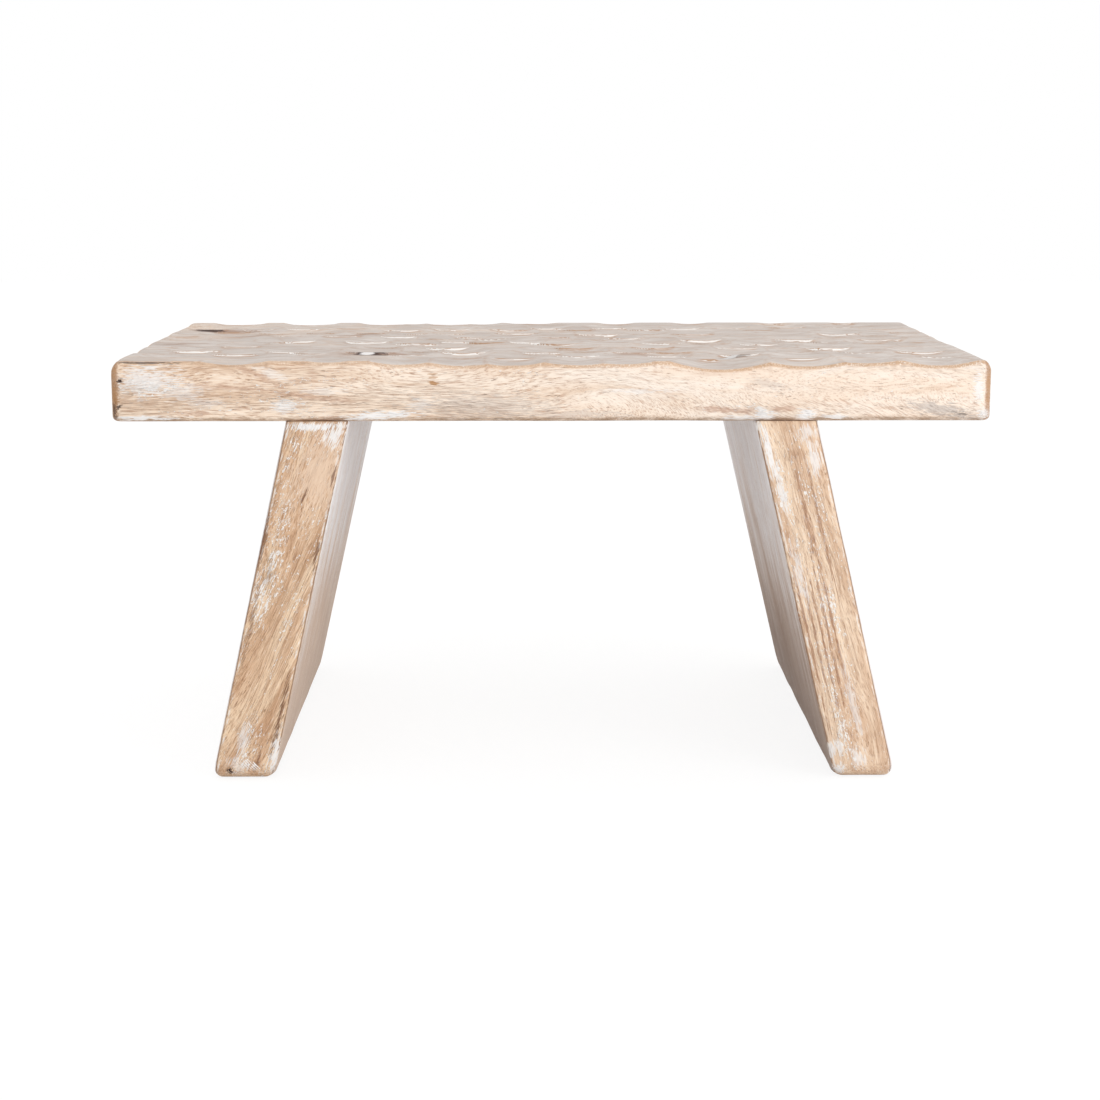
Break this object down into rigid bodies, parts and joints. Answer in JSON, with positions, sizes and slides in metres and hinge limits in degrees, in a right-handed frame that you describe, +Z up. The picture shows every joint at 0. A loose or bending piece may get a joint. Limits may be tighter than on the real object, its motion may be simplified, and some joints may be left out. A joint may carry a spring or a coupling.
{
  "type": "stool",
  "caption": "Low slab stool in limed wood: a thick rectangular seat with a gouged top on splayed slab legs, joined by blind dowels.",
  "frame": {"origin": "on the floor, under the middle of the seat", "axes": "+X along the length of the seat, +Y from the front face towards the back, +Z up"},
  "size_m": [0.61, 0.35, 0.3],
  "materials": {
    "seat_wood": "mango wood rubbed with a grey-white lime wash, matt, worn back to the wood on the crests, the front face warm and bare",
    "leg_wood": "mango wood with white wash left in the grain, matt, broad faces greyer than the front edge",
    "dowel_wood": "bare fluted beech"
  },
  "bodies": {
    "root": {"seat_front_board": "seat_wood", "seat_middle_board": "seat_wood", "seat_rear_board": "seat_wood", "left_leg_front_board": "leg_wood", "left_leg_middle_board": "leg_wood", "left_leg_rear_board": "leg_wood", "right_leg_front_board": "leg_wood", "right_leg_middle_board": "leg_wood", "right_leg_rear_board": "leg_wood", "left_leg_dowels": "dowel_wood", "right_leg_dowels": "dowel_wood"}
  },
  "joints": []
}
